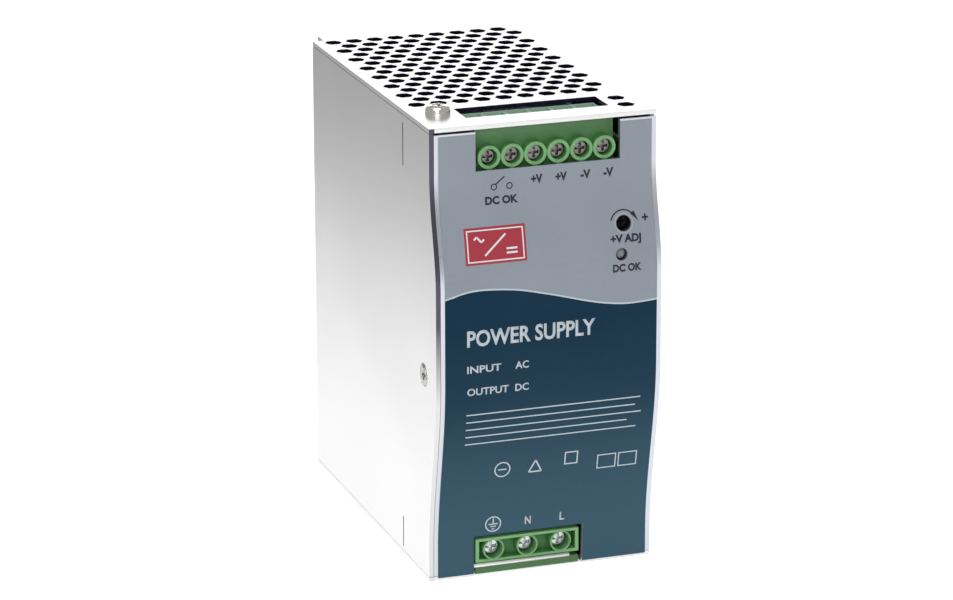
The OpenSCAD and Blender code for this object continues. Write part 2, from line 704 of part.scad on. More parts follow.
fuse_d = 5.2;
fuse_at = [in_board_y[0] + 29, in_high + board_t + fuse_d / 2 + 1.2];
fuse_x = in_x - 12;
module line_fuse() {
  color("whitesmoke") {
    rod_x(fuse_x, fuse_at[0], fuse_at[1], fuse_d - 0.7, 20);
    for (x = [fuse_x, fuse_x + 15]) {
      rod_x(x, fuse_at[0], fuse_at[1], fuse_d, 5);
      block([x + 1.5, x + 3.5], [fuse_at[0] - 0.4, fuse_at[0] + 0.4], [in_high + board_t, fuse_at[1]]);
    }
  }
}

choke_at = [main_front + 22, main_low + 30];
choke_d = [12, 22];
choke_h = 9;
module ring_x(x, at, d_in, d_out, height, angle = 360, from = 0) {
  translate([x, at[0], at[1]]) rotate([0, 90, 0]) rotate([0, 0, from]) rotate_extrude(angle = angle)
    translate([d_in / 2, 0]) square([(d_out - d_in) / 2, height]);
}
module emi_choke() {
  x = main_face - 2 - choke_h;
  color("darkkhaki") {
    ring_x(x, choke_at, choke_d[0], choke_d[1], choke_h);
    for (from = [15, 195])
      ring_x(x - 1.2, choke_at, choke_d[0] - 2.4, choke_d[1] + 2.4, choke_h + 2.4, 150, from);
    block([main_face - 2, main_face], [choke_at[0] - 9, choke_at[0] + 9], [choke_at[1] - 9, choke_at[1] + 9]);
  }
}

xcap_y = [-50, -24];
module x_capacitor() {
  color("gold") on_board(xcap_y, [main_low + 3, main_low + 17], 22);
}
module bridge_rectifier() {
  color("black") {
    on_board([-59, -37], [main_low + 24, main_low + 29], 19, 3);
    for (k = [0 : 3]) on_board([-57 + 5.4 * k, -56 + 5.4 * k], [main_low + 26, main_low + 27], 3.1);
  }
}
inductor_y = [-34, -12];
module boost_inductor() {
  z = [main_low + 21, main_low + 43];
  color("dimgray") {
    for (y = [inductor_y[0], inductor_y[1] - 4]) on_board([y, y + 4], z, 27);
    rod_x(main_face - 25, (inductor_y[0] + inductor_y[1]) / 2, (z[0] + z[1]) / 2, 12.6, 22);
    for (x = [main_face - 27, main_face - 5])
      block([x, x + 5], [inductor_y[0], inductor_y[1]], z);
  }
}

// primary heat sink: a plate across the case, with the transistors on its upper side
sink_z = -9;
sink_t = 3;
sink_h = main_face - in_left - 6;
module primary_heatsink() {
  color("silver") {
    on_board([-62, -10], [sink_z, sink_z + sink_t], sink_h);
    block([main_face - sink_h - 2, main_face - sink_h + 0.01], [-62, -10], [sink_z - 9, sink_z + sink_t]);
  }
}
transistor_w = 10;
module transistor(y, z, lift) {
  on_board([y, y + transistor_w], [z, z + 4.5], 15, lift);
  for (k = [-1, 0, 1]) on_board([y + 4.6 + 2.5 * k, y + 5.4 + 2.5 * k], [z + 2, z + 2.6], lift + 0.01);
}
module primary_transistors() {
  color("black") for (y = [-60, -47, -34.5]) transistor(y, sink_z + sink_t, 4);
}

bulk_d = 22;
module bulk_capacitor() {
  z = sink_z + sink_t + 6.5 + bulk_d / 2;
  color("midnightblue") {
    can_on_board(-22, z, bulk_d, 42);
    can_on_board(-22, z, bulk_d - 3, 42.8);
  }
}

transformer_y = [-69, -39];
transformer_z = [sink_z + sink_t + 5.5, sink_z + sink_t + 33.5];
core_h = 32;
core_leg = 6;
module transformer_core() {
  x0 = main_face - 4 - core_h;
  mid = (transformer_z[0] + transformer_z[1]) / 2;
  color("dimgray") {
    for (y = [transformer_y[0], transformer_y[1] - core_leg])
      block([x0, main_face - 4], [y, y + core_leg], transformer_z);
    for (x = [x0, main_face - 4 - core_leg]) block([x, x + core_leg], transformer_y, transformer_z);
    rod_x(x0 + 1, (transformer_y[0] + transformer_y[1]) / 2, mid, 9, core_h - 2);
  }
}
module transformer_winding() {
  x0 = main_face - 4 - core_h + core_leg + 0.1;
  at = [(transformer_y[0] + transformer_y[1]) / 2, (transformer_z[0] + transformer_z[1]) / 2];
  room = core_h - 2 * core_leg - 0.2;
  color("goldenrod") {
    ring_x(x0, at, 9.2, 17.6, room);
    on_board([at[0] - 8, at[0] + 8], [at[1] - 8, at[1] + 8], 4);
  }
}

sink2_z = transformer_z[1] + 3;
sink2_h = sink_h - 4;
module secondary_heatsink() {
  color("silver") {
    on_board([-68, -22], [sink2_z, sink2_z + sink_t], sink2_h);
    block([main_face - sink2_h - 2, main_face - sink2_h + 0.01], [-68, -22], [sink2_z, sink2_z + 8]);
  }
}
module output_rectifiers() {
  color("black") for (y = [-66, -52]) {
    on_board([y, y + transistor_w], [sink2_z + sink_t, sink2_z + sink_t + 4.5], 15, 20);
    for (k = [-1, 1])
      on_board([y + 4.6 + 2.5 * k, y + 5.4 + 2.5 * k], [sink2_z + sink_t + 2, sink2_z + sink_t + 2.6], 20.01);
  }
}
output_choke_at = [main_front + 13, 8];
module output_choke() {
  x = main_face - 1.5 - 9;
  color("darkorange") {
    ring_x(x, output_choke_at, 8, 17, 9);
    ring_x(x - 1, output_choke_at, 6.4, 19, 11, 320, 20);
  }
}
can_d = 10;
module output_capacitors() {
  z = main_high - 6.5;
  color("darkslategray") for (k = [0 : 3]) {
    y = -58 + 11.5 * k;
    can_on_board(y, z, can_d, 21);
    can_on_board(y, z, can_d - 1.6, 21.5);
  }
}

// lead from the earth pin to a lug on the left panel
lead_d = 2.2;
lead_bend = 5;
module earth_lead() {
  x = pole_x(0);
  y = in_bar_y()[1] + 8;
  z0 = in_high + board_t;
  z1 = z0 + 6;
  color("yellowgreen") {
    translate([x, y, z0]) cylinder(d = lead_d, h = z1 - z0);
    translate([x - lead_bend, y, z1]) rotate([90, 0, 0]) rotate_extrude(angle = 90)
      translate([lead_bend, 0]) circle(d = lead_d);
    rod_x(in_left + 0.4, y, z1 + lead_bend, lead_d, x - lead_bend - in_left - 0.4);
    block([in_left + 0.01, in_left + 0.9], [y - 4, y + 4], [z1 + lead_bend - 4, z1 + lead_bend + 10]);
  }
}

chassis();
side_cover();
front_panel();
front_label();
top_screw();
side_screw();
hidden_screws();
rail_bracket();
rail_latch();
latch_spring();
latch_rivets();
insulation_sheet();
main_board();
board_standoffs();
board_screws();
output_board();
input_board();
control_board();
output_terminal_block();
output_screw(0);  // output_screw_1
output_screw(1);  // output_screw_2
output_screw(2);  // output_screw_3
output_screw(3);  // output_screw_4
output_screw(4);  // output_screw_5
output_screw(5);  // output_screw_6
output_clamp(0);  // output_clamp_1
output_clamp(1);  // output_clamp_2
output_clamp(2);  // output_clamp_3
output_clamp(3);  // output_clamp_4
output_clamp(4);  // output_clamp_5
output_clamp(5);  // output_clamp_6
output_pins();
input_terminal_block();
input_screw(0);  // input_screw_1
input_screw(1);  // input_screw_2
input_screw(2);  // input_screw_3
input_clamp(0);  // input_clamp_1
input_clamp(1);  // input_clamp_2
input_clamp(2);  // input_clamp_3
input_pins();
input_retainer();
trimmer_body();
trimmer_rotor();
status_led();
dc_ok_relay();
line_fuse();
emi_choke();
x_capacitor();
bridge_rectifier();
boost_inductor();
bulk_capacitor();
primary_heatsink();
primary_transistors();
transformer_core();
transformer_winding();
secondary_heatsink();
output_rectifiers();
output_choke();
output_capacitors();
earth_lead();
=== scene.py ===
import math

import bmesh
import bpy
import numpy as np
from mathutils import Matrix, Vector


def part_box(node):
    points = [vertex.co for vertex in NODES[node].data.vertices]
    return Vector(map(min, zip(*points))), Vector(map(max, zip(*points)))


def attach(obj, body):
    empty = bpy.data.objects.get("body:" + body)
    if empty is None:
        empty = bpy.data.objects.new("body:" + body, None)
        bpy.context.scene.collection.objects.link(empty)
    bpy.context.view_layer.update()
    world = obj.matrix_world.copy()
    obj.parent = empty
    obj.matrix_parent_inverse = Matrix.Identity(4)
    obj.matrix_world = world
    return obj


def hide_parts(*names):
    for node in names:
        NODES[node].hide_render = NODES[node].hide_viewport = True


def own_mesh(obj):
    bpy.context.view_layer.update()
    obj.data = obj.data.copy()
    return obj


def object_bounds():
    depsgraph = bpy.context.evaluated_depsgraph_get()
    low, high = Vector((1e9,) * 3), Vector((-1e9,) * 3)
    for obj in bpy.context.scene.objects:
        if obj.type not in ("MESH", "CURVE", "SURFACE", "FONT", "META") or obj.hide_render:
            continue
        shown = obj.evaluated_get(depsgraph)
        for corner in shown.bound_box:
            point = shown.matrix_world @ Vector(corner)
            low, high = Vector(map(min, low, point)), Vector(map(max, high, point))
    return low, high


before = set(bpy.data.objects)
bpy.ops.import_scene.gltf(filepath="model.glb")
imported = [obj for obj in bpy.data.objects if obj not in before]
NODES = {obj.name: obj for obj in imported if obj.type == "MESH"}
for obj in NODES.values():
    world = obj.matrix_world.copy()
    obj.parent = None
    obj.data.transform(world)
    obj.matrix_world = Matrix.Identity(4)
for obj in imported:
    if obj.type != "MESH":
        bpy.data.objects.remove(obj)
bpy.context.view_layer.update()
MM = 0.001

# ---------------------------------------------------------------- measures from the frame

case_low, case_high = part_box("chassis")
film_low, film_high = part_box("front_label")
LEFT = case_low.x
RIGHT = case_high.x
FOOT = case_low.z
TOP = case_high.z


def film_front():
    """The film's front face as (heights, depths), lowest first, from the CAD node's own points."""
    depth = {}
    for vertex in NODES["front_label"].data.vertices:
        if vertex.co.x - film_low.x > 0.01 * MM:
            continue
        z = round(vertex.co.z, 6)
        depth[z] = min(depth.get(z, 1.0), vertex.co.y)
    heights = sorted(depth)
    return np.array(heights), np.array([depth[z] for z in heights])


WAVE_Z, WAVE_Y = film_front()


def front_y(z):
    """Depth of the film's front face at height z."""
    return float(np.interp(z, WAVE_Z, WAVE_Y))


# ---------------------------------------------------------------- colours, linear

GREY_PRINT = (0.262, 0.292, 0.333)
BLUE_TOP = (0.0030, 0.026, 0.054)
BLUE_FOOT = (0.044, 0.098, 0.136)
RIM_METAL = (0.62, 0.64, 0.70)
SHEET = (0.80, 0.80, 0.80)
NICKEL = (0.80, 0.77, 0.72)
ZINC = (0.66, 0.67, 0.68)
GREEN = (0.075, 0.235, 0.070)
GREEN_LIGHT = (0.20, 0.43, 0.18)


# ---------------------------------------------------------------- node materials

PLASTIC_IOR = 1.5


def material(name, metallic=0.0, roughness=0.5, specular=0.5):
    """A new material with its Principled shader: (material, nodes, links, shader)."""
    mat = bpy.data.materials.new(name)
    mat.use_nodes = True
    nodes = mat.node_tree.nodes
    shader = nodes["Principled BSDF"]
    shader.inputs["Metallic"].default_value = metallic
    shader.inputs["Roughness"].default_value = roughness
    shader.inputs["Specular IOR Level"].default_value = specular
    shader.inputs["IOR"].default_value = PLASTIC_IOR
    return mat, nodes, mat.node_tree.links, shader


def coordinates(nodes, links, stretch=(1, 1, 1)):
    """Object coordinates in metres, stretched along the axes."""
    source = nodes.new("ShaderNodeTexCoord")
    mapping = nodes.new("ShaderNodeMapping")
    mapping.inputs["Scale"].default_value = stretch
    links.new(source.outputs["Object"], mapping.inputs["Vector"])
    return mapping.outputs["Vector"]


def noise(nodes, links, where, scale, detail=3.0, rough=0.55):
    """Soft noise at the given scale, from 0 to 1."""
    texture = nodes.new("ShaderNodeTexNoise")
    texture.inputs["Scale"].default_value = scale
    texture.inputs["Detail"].default_value = detail
    texture.inputs["Roughness"].default_value = rough
    links.new(where, texture.inputs["Vector"])
    return texture.outputs["Fac"]


def ramp(nodes, links, value, stops):
    """A colour or grey ramp: stops is a list of (place, colour or number)."""
    node = nodes.new("ShaderNodeValToRGB")
    elements = node.color_ramp.elements
    while len(elements) < len(stops):
        elements.new(0.5)
    for element, (place, colour) in zip(elements, stops):
        if not isinstance(colour, (tuple, list)):
            colour = (colour, colour, colour)
        element.position = place
        element.color = (*colour, 1.0)
    links.new(value, node.inputs["Fac"])
    return node.outputs["Color"]


def bump(nodes, links, shader, height, distance, strength=1.0, after=None):
    """Relief from a height socket, on top of an earlier relief if there is one."""
    node = nodes.new("ShaderNodeBump")
    node.inputs["Strength"].default_value = strength
    node.inputs["Distance"].default_value = distance
    links.new(height, node.inputs["Height"])
    if after is not None:
        links.new(after, node.inputs["Normal"])
    links.new(node.outputs["Normal"], shader.inputs["Normal"])
    return node.outputs["Normal"]


def shade(colour, factor):
    """The colour made darker or lighter."""
    return tuple(min(1.0, c * factor) for c in colour)


def between(first, second, share):
    """The colour that lies a share of the way from the first to the second."""
    return tuple((1 - share) * a + share * b for a, b in zip(first, second))


def edge_wear_and_highlight(nodes, links, low=0.49, high=0.54):
    """White along convex edges, black elsewhere: where edges are painted lighter, as wear and as painted
    highlight.
    """
    geometry = nodes.new("ShaderNodeNewGeometry")
    return ramp(nodes, links, geometry.outputs["Pointiness"], [(low, 0.0), (high, 1.0)])


def mix(nodes, links, factor, a, b, blend="MIX"):
    """Mixes two colours or colour sockets by a socket or number."""
    node = nodes.new("ShaderNodeMix")
    node.data_type = "RGBA"
    node.blend_type = blend
    for socket, value in ((node.inputs[0], factor), (node.inputs[6], a), (node.inputs[7], b)):
        if isinstance(value, bpy.types.NodeSocket):
            links.new(value, socket)
        elif isinstance(value, (tuple, list)):
            socket.default_value = (*value, 1.0)
        else:
            socket.default_value = value
    return node.outputs[2]


def within(nodes, links, value, low, high):
    """1 where the value lies between low and high, 0 elsewhere."""
    above = nodes.new("ShaderNodeMath")
    above.operation = "GREATER_THAN"
    above.inputs[1].default_value = low
    links.new(value, above.inputs[0])
    below = nodes.new("ShaderNodeMath")
    below.operation = "LESS_THAN"
    below.inputs[1].default_value = high
    links.new(value, below.inputs[0])
    return both(nodes, links, above.outputs[0], below.outputs[0])


def both(nodes, links, a, b):
    """The product of two sockets or numbers: 1 where both are 1."""
    node = nodes.new("ShaderNodeMath")
    node.operation = "MULTIPLY"
    for socket, value in zip(node.inputs, (a, b)):
        if isinstance(value, bpy.types.NodeSocket):
            links.new(value, socket)
        else:
            socket.default_value = value
    return node.outputs[0]


def axes(nodes, links, vector):
    """The X, Y and Z outputs of a vector socket."""
    split = nodes.new("ShaderNodeSeparateXYZ")
    links.new(vector, split.inputs["Vector"])
    return split.outputs


def object_axes(nodes, links):
    """The X, Y and Z of the place on the object, in metres."""
    return axes(nodes, links, nodes.new("ShaderNodeTexCoord").outputs["Object"])


def fade_between(nodes, links, value, start, end, low=0.0, high=1.0):
    """Goes from low to high while the value goes from start to end."""
    node = nodes.new("ShaderNodeMapRange")
    node.inputs["From Min"].default_value = start
    node.inputs["From Max"].default_value = end
    node.inputs["To Min"].default_value = low
    node.inputs["To Max"].default_value = high
    links.new(value, node.inputs["Value"])
    return node.outputs["Result"]


# ---------------------------------------------------------------- shade painted on the case

INSIDE_SHADE = (0.040, 0.030, 0.085)
CUT_EDGE_SHADE = (0.10, 0.095, 0.13)
SKIN = 0.1 * MM
BACK_SKIN = 0.5 * MM
BRIGHT_FRONT = 6.2 * MM
CUT_EDGE_SHADE_DEPTH = 1.5 * MM
CUT_EDGE_SHADE_FADE = (-14 * MM, 8 * MM)
CUT_EDGE_SHADE_FAINTEST = 0.15
AHEAD = (-2.0, -0.6)
FAR = 1.0


def inner_shade(nodes, links):
    """Mask of the painted shade: white on the faces inside the case and on the punched walls of its vents,
    black outside.
    """
    place = object_axes(nodes, links)
    across = within(nodes, links, place["X"], LEFT + SKIN, RIGHT - SKIN)
    height = within(nodes, links, place["Z"], FOOT + SKIN, TOP - SKIN)
    # the front edge of the top plate stays out of the painted shade
    behind_edge = within(nodes, links, place["Y"], case_low.y + BRIGHT_FRONT, case_high.y - BACK_SKIN)
    return both(nodes, links, both(nodes, links, across, height), behind_edge)


def cut_edge_shade(nodes, links):
    """Mask of the left panel's darkened front edge: raw cut steel with painted shade on it, fading towards
    the foot.
    """
    place = object_axes(nodes, links)
    facing = axes(nodes, links, nodes.new("ShaderNodeNewGeometry").outputs["True Normal"])
    ahead = within(nodes, links, facing["Y"], *AHEAD)
    edge = within(nodes, links, place["X"], LEFT - FAR, LEFT + CUT_EDGE_SHADE_DEPTH)
    fade = fade_between(nodes, links, place["Z"], *CUT_EDGE_SHADE_FADE, CUT_EDGE_SHADE_FAINTEST)
    return both(nodes, links, both(nodes, links, ahead, edge), fade)


# ---------------------------------------------------------------- kinds of material

def plated_sheet(name, colour, roughness=(0.22, 0.36), grain=(40, 40, 3), marks=0.03, case=False):
    """Satin sheet metal: fine drawn grain, soft clouding, faint handling marks."""
    mat, nodes, links, shader = material(name, metallic=1.0)
    where = coordinates(nodes, links, grain)
    streaks = noise(nodes, links, where, 60, 5, 0.7)
    clouds = noise(nodes, links, coordinates(nodes, links), 22, 4)
    scuffs = noise(nodes, links, coordinates(nodes, links, (1, 5, 1)), 260, 6, 0.75)
    tone = ramp(nodes, links, clouds, [(0.3, shade(colour, 0.965)), (0.7, shade(colour, 1.02))])
    fine = ramp(nodes, links, streaks, [(0.3, shade(colour, 0.97)), (0.7, colour)])
    base = mix(nodes, links, 0.5, tone, fine)
    worn = ramp(nodes, links, scuffs, [(0.66, 0.0), (0.8, marks * 4)])
    base = mix(nodes, links, worn, base, shade(colour, 0.72))
    if case:
        # painted shade on the faces inside the case and on the walls of its vents
        base = mix(nodes, links, inner_shade(nodes, links), base, INSIDE_SHADE)
        # the left panel's front edge darkened: raw cut steel and painted shade
        base = mix(nodes, links, cut_edge_shade(nodes, links), base, CUT_EDGE_SHADE)
    links.new(base, shader.inputs["Base Color"])
    gloss = ramp(nodes, links, streaks, [(0.3, roughness[0]), (0.7, roughness[1])])
    patch = ramp(nodes, links, clouds, [(0.35, roughness[0]), (0.65, roughness[1])])
    links.new(mix(nodes, links, 0.5, gloss, patch), shader.inputs["Roughness"])
    first = bump(nodes, links, shader, streaks, 0.000006, 0.15)
    bump(nodes, links, shader, clouds, 0.00005, 0.04, first)
    return mat


def machined(name, colour, roughness=(0.12, 0.3), dark=0.75):
    """Bright small hardware: polished high spots with painted highlight on the edges, dull film in the low
    ones.
    """
    mat, nodes, links, shader = material(name, metallic=1.0)
    where = coordinates(nodes, links)
    fine = noise(nodes, links, where, 900, 4, 0.6)
    broad = noise(nodes, links, where, 198, 3)
    film = ramp(nodes, links, broad, [(0.35, shade(colour, dark)), (0.65, colour)])
    edges = edge_wear_and_highlight(nodes, links)
    # convex edges painted lighter: polish wear and painted highlight
    links.new(mix(nodes, links, edges, film, shade(colour, 1.15)), shader.inputs["Base Color"])
    gloss = ramp(nodes, links, fine, [(0.3, roughness[0]), (0.7, roughness[1])])
    links.new(gloss, shader.inputs["Roughness"])
    bump(nodes, links, shader, fine, 0.00001, 0.25)
    return mat


# zones of the green blocks: painted shadow near the top plate, paler green in the wire slot, painted shadow
# at the foot's lip
TOP_SHADOW_ZONE = (TOP - 7 * MM, TOP - 2 * MM)
TOP_SHADOW_COVER = 0.62
FACE_BACK = case_low.y + 9.4 * MM
SLOT_FRONT = case_low.y + 9.5 * MM
PALE_SLOT_LOW = TOP - 5 * MM
PALE_SLOT_COVER = 0.85
PALE_SLOT_GREEN = (0.34, 0.50, 0.40)
LIP_SHADOW_ZONE = (FOOT - 1 * MM, FOOT + 2.3 * MM)
LIP_SHADOW_COVER = 0.75


def zoned(nodes, links, base):
    """Painted shadow under the top plate's edge and at the foot's lip, paler green on the lead-ins beneath
    the wire slot.
    """
    place = object_axes(nodes, links)
    face = within(nodes, links, place["Y"], -FAR, FACE_BACK)
    shadow = both(nodes, links, face, fade_between(nodes, links, place["Z"], *TOP_SHADOW_ZONE, 0.0, TOP_SHADOW_COVER))
    slot_side = within(nodes, links, place["Y"], SLOT_FRONT, 0.0)
    upper = within(nodes, links, place["Z"], PALE_SLOT_LOW, TOP)
    pale_slot = both(nodes, links, both(nodes, links, slot_side, upper), PALE_SLOT_COVER)
    lip_shadow = both(nodes, links, within(nodes, links, place["Z"], *LIP_SHADOW_ZONE), LIP_SHADOW_COVER)
    with_shadow = mix(nodes, links, shadow, base, shade(GREEN, 0.28))
    with_shadow = mix(nodes, links, lip_shadow, with_shadow, shade(GREEN, 0.3))
    return mix(nodes, links, pale_slot, with_shadow, PALE_SLOT_GREEN)


def moulded(name, colour, light, roughness=(0.38, 0.52), grain=2400, depth=0.00001, specular=0.45,
            sub=0.0, top_zones=False):
    """Moulded plastic: spark-eroded skin, slow colour drift, paler edges as painted highlight."""
    mat, nodes, links, shader = material(name, specular=specular)
    where = coordinates(nodes, links)
    skin = noise(nodes, links, where, grain, 3, 0.6)
    drift = noise(nodes, links, where, 90, 3)
    base = ramp(nodes, links, drift, [(0.3, shade(colour, 0.9)), (0.7, shade(colour, 1.1))])
    edges = edge_wear_and_highlight(nodes, links, 0.5, 0.57)
    # convex edges painted paler: painted highlight
    base = mix(nodes, links, edges, base, light)
    if top_zones:
        # painted shadow on the green blocks' front faces and lip, paler green beneath the wire slot
        base = zoned(nodes, links, base)
    links.new(base, shader.inputs["Base Color"])
    gloss = ramp(nodes, links, skin, [(0.3, roughness[0]), (0.7, roughness[1])])
    links.new(gloss, shader.inputs["Roughness"])
    shader.inputs["Subsurface Weight"].default_value = sub
    shader.inputs["Subsurface Radius"].default_value = (0.0006, 0.0012, 0.0005)
    bump(nodes, links, shader, skin, depth, 0.4)
    return mat


# the blue field's tone, from this share of the film's top height down to the foot: (place, share of
# the foot's tone)
FIELD_START = 0.12
FIELD_TONES = ((0.0, 0.0), (0.3, 0.2), (0.55, 0.65), (0.85, 1.0))
FILM_ROUGHNESS = (0.33, 0.46)
INK_ROUGHNESS = (0.36, 0.48)


def printed_film(name, colour, foot_colour=None):
    """Screen-printed film: fine leather-like embossing; the blue field grows paler towards the foot."""
    mat, nodes, links, shader = material(name, specular=0.08)
    where = coordinates(nodes, links)
    emboss = noise(nodes, links, where, 3200, 2, 0.5)
    drift = noise(nodes, links, where, 45, 3)
    if foot_colour is None:
        base = ramp(nodes, links, drift, [(0.3, shade(colour, 0.97)), (0.7, shade(colour, 1.03))])
    else:
        height = axes(nodes, links, where)["Z"]
        descent = fade_between(nodes, links, height, film_high.z * FIELD_START, FOOT)
        tones = [(place, between(colour, foot_colour, share)) for place, share in FIELD_TONES]
        patches = ramp(nodes, links, drift, [(0.3, 0.0), (0.7, 0.06)])
        base = mix(nodes, links, patches, ramp(nodes, links, descent, tones), foot_colour)
    speck = ramp(nodes, links, emboss, [(0.25, 0.94), (0.6, 1.0)])
    links.new(mix(nodes, links, 1.0, base, speck, "MULTIPLY"), shader.inputs["Base Color"])
    sheen = ramp(nodes, links, emboss, [(0.3, FILM_ROUGHNESS[0]), (0.7, FILM_ROUGHNESS[1])])
    links.new(sheen, shader.inputs["Roughness"])
    bump(nodes, links, shader, emboss, 0.000006, 0.5)
    return mat


def ink(name, colour):
    """Screen ink: slightly uneven cover and gloss."""
    mat, nodes, links, shader = material(name, specular=0.35)
    where = coordinates(nodes, links)
    cover = noise(nodes, links, where, 5200, 3, 0.6)
    tone = ramp(nodes, links, cover, [(0.3, shade(colour, 0.88)), (0.65, colour)])
    links.new(tone, shader.inputs["Base Color"])
    sheen = ramp(nodes, links, cover, [(0.3, INK_ROUGHNESS[0]), (0.7, INK_ROUGHNESS[1])])
    links.new(sheen, shader.inputs["Roughness"])
    bump(nodes, links, shader, cover, 0.000004, 0.3)
    return mat


def circuit_board(name):
    """Solder mask over copper: darker lands and paler tracks from a square-ish cell pattern."""
    mat, nodes, links, shader = material(name, specular=0.5)
    where = coordinates(nodes, links)
    cells = nodes.new("ShaderNodeTexVoronoi")
    cells.distance = "CHEBYCHEV"
    cells.inputs["Scale"].default_value = 230
    links.new(where, cells.inputs["Vector"])
    tracks = ramp(nodes, links, cells.outputs["Distance"],
                  [(0.42, (0.006, 0.055, 0.022)), (0.5, (0.012, 0.12, 0.045))])
    weave = noise(nodes, links, where, 1500, 3)
    mask = ramp(nodes, links, weave, [(0.3, (0.004, 0.04, 0.02)), (0.7, (0.02, 0.13, 0.05))])
    links.new(mix(nodes, links, 0.25, tracks, mask), shader.inputs["Base Color"])
    links.new(ramp(nodes, links, weave, [(0.3, 0.25), (0.7, 0.42)]), shader.inputs["Roughness"])
    bump(nodes, links, shader, cells.outputs["Distance"], 0.00003, 0.4)
    return mat


def wound(name, colour, pitch, axis="Z", glossy=0.25):
    """Enamelled turns: fine ridges across the winding."""
    mat, nodes, links, shader = material(name, metallic=0.35, specular=0.5)
    wave = nodes.new("ShaderNodeTexWave")
    wave.bands_direction = axis
    wave.inputs["Scale"].default_value = 1.0 / (pitch * 2 * math.pi)
    wave.inputs["Distortion"].default_value = 0.6
    wave.inputs["Detail"].default_value = 2
    links.new(coordinates(nodes, links), wave.inputs["Vector"])
    links.new(ramp(nodes, links, wave.outputs["Fac"], [(0.1, shade(colour, 0.35)), (0.6, colour)]),
              shader.inputs["Base Color"])
    tarnish = noise(nodes, links, coordinates(nodes, links), 400, 3)
    links.new(ramp(nodes, links, tarnish, [(0.3, glossy), (0.7, glossy + 0.2)]), shader.inputs["Roughness"])
    bump(nodes, links, shader, wave.outputs["Fac"], 0.0001, 0.7)
    return mat


def lamp_lens(name):
    """Unlit diffusing lens."""
    mat, nodes, links, shader = material(name, specular=0.2)
    where = coordinates(nodes, links)
    haze = noise(nodes, links, where, 700, 3)
    links.new(ramp(nodes, links, haze, [(0.3, (0.20, 0.205, 0.215)), (0.7, (0.24, 0.245, 0.25))]),
              shader.inputs["Base Color"])
    links.new(ramp(nodes, links, haze, [(0.3, 0.42), (0.7, 0.55)]), shader.inputs["Roughness"])
    shader.inputs["Subsurface Weight"].default_value = 0.15
    bump(nodes, links, shader, haze, 0.00001, 0.2)
    return mat


# ---------------------------------------------------------------- the materials of the supply

MATERIALS = {
    "sheet": plated_sheet("nickel_sheet", SHEET, roughness=(0.32, 0.44), case=True),
    "panel": plated_sheet("front_sheet", RIM_METAL, roughness=(0.26, 0.4), grain=(3, 40, 40)),
    "hardware": machined("nickel_screw", NICKEL),
    "terminal_screw": machined("terminal_screw_zinc", ZINC, roughness=(0.16, 0.34)),
    # the output screws' zinc darkened in its colour: painted shade of the deep tower bores
    "small_screw": machined("zinc_screw_painted_shade", (0.20, 0.19, 0.18), roughness=(0.22, 0.42), dark=0.5),
    "latch": plated_sheet("zinc_latch", (0.62, 0.63, 0.62), roughness=(0.24, 0.42), grain=(60, 60, 6),
                          marks=0.08),
    "spring": machined("spring_steel", (0.30, 0.30, 0.31), roughness=(0.25, 0.4)),
    "tin": machined("tin_plate", (0.74, 0.74, 0.72), roughness=(0.22, 0.4), dark=0.82),
    "green": moulded("green_polyamide", GREEN, GREEN_LIGHT, sub=0.12, top_zones=True),
    "board": circuit_board("solder_mask"),
    "film_sheet": moulded("insulating_film", (0.62, 0.61, 0.53), (0.75, 0.74, 0.68), roughness=(0.3, 0.45)),
    # the strip's plating lighter than the other sheet metal: painted highlight
    "strip": plated_sheet("strip_painted_highlight", (0.93, 0.94, 0.92), roughness=(0.3, 0.4), grain=(4, 60, 60)),
    # the side screw's nickel darker than the other nickel screws: painted shade
    "wall_screw": machined("wall_screw_nickel_painted_shade", (0.42, 0.41, 0.40), roughness=(0.18, 0.34), dark=0.6),
    "brass": machined("brass_standoff", (0.72, 0.52, 0.22), roughness=(0.2, 0.36)),
    "black": moulded("black_epoxy", (0.012, 0.012, 0.014), (0.05, 0.05, 0.055), roughness=(0.42, 0.6)),
    "heatsink": plated_sheet("milled_aluminium", (0.66, 0.67, 0.69), roughness=(0.25, 0.4),
                             grain=(4, 60, 60)),
    "ferrite": moulded("ferrite", (0.020, 0.020, 0.022), (0.08, 0.08, 0.085), roughness=(0.5, 0.7),
                       grain=900, depth=0.00003),
    "tape": wound("winding_tape", (0.62, 0.40, 0.05), 0.0030, "X", 0.3),
    "copper": wound("copper_turns", (0.50, 0.17, 0.05), 0.0009, "DIAGONAL", 0.22),
    "sleeve": moulded("capacitor_sleeve", (0.010, 0.016, 0.045), (0.04, 0.05, 0.10),
                      roughness=(0.22, 0.36)),
    "yellow": moulded("capacitor_box", (0.55, 0.38, 0.03), (0.75, 0.6, 0.15)),
    "rotor": moulded("trimmer_rotor", (0.003, 0.003, 0.004), (0.010, 0.010, 0.011),
                     roughness=(0.6, 0.75), specular=0.1),
    "lens": lamp_lens("lamp_lens"),
    "glass": moulded("fuse_glass", (0.5, 0.55, 0.55), (0.8, 0.82, 0.82), roughness=(0.05, 0.12),
                     specular=0.7),
    "earth": moulded("earth_insulation", (0.28, 0.42, 0.03), (0.5, 0.6, 0.1), roughness=(0.3, 0.42)),
    "grey_print": printed_film("grey_print", GREY_PRINT),
    "blue_print": printed_film("blue_print", BLUE_TOP, BLUE_FOOT),
    "dark_ink": ink("dark_ink", (0.012, 0.013, 0.032)),
    "pale_ink": ink("pale_ink", (0.50, 0.56, 0.60)),
    "red_ink": ink("red_ink", (0.37, 0.032, 0.052)),
    "grey_ink": ink("grey_ink", (0.36, 0.37, 0.40)),
    "white_ink": ink("white_ink", (0.72, 0.72, 0.74)),
}

